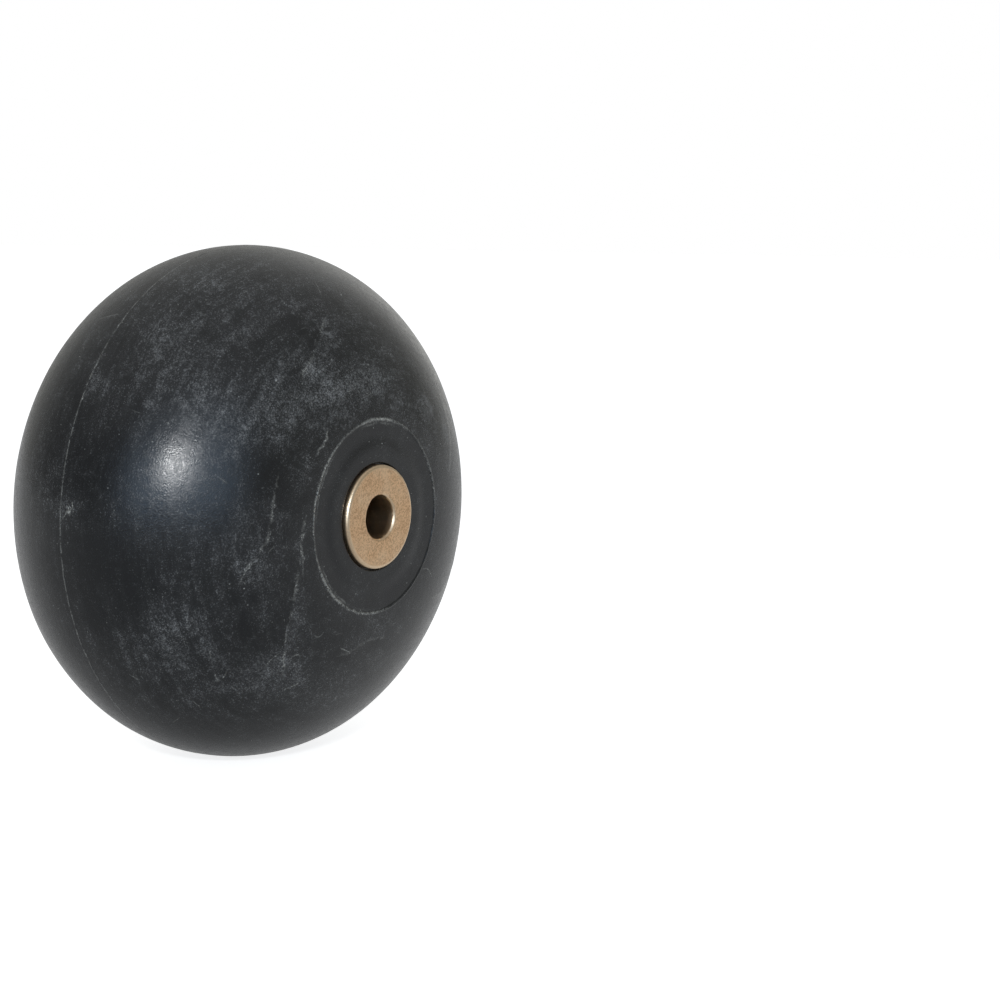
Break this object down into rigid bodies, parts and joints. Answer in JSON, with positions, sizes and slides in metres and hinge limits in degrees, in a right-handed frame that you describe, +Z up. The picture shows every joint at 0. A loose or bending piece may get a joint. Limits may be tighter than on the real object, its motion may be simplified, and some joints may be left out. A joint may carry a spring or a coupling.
{
  "type": "rubber ball roller",
  "caption": "Solid rubber ball roller, flattened along its axle, with a steel core tube and a flanged bronze bush in each end of its through bore.",
  "frame": {"origin": "centre of the ball, on the axle's axis, half way between the two flange faces", "axes": "+Y along the axle's axis, out of the back bush; -Y out of the front bush; +Z up; +X to the right seen from the front"},
  "size_m": [0.1524, 0.1016, 0.1524],
  "materials": {
    "rubber": "moulded black rubber, satin, with flow lines and a fine parting line",
    "core_steel": "plain drawn steel tube",
    "bush_bronze": "oil-soaked sintered bronze, fine open grain"
  },
  "bodies": {
    "root": {"rubber_ball": "rubber", "core_tube": "core_steel", "front_bush": "bush_bronze", "back_bush": "bush_bronze"}
  },
  "joints": []
}
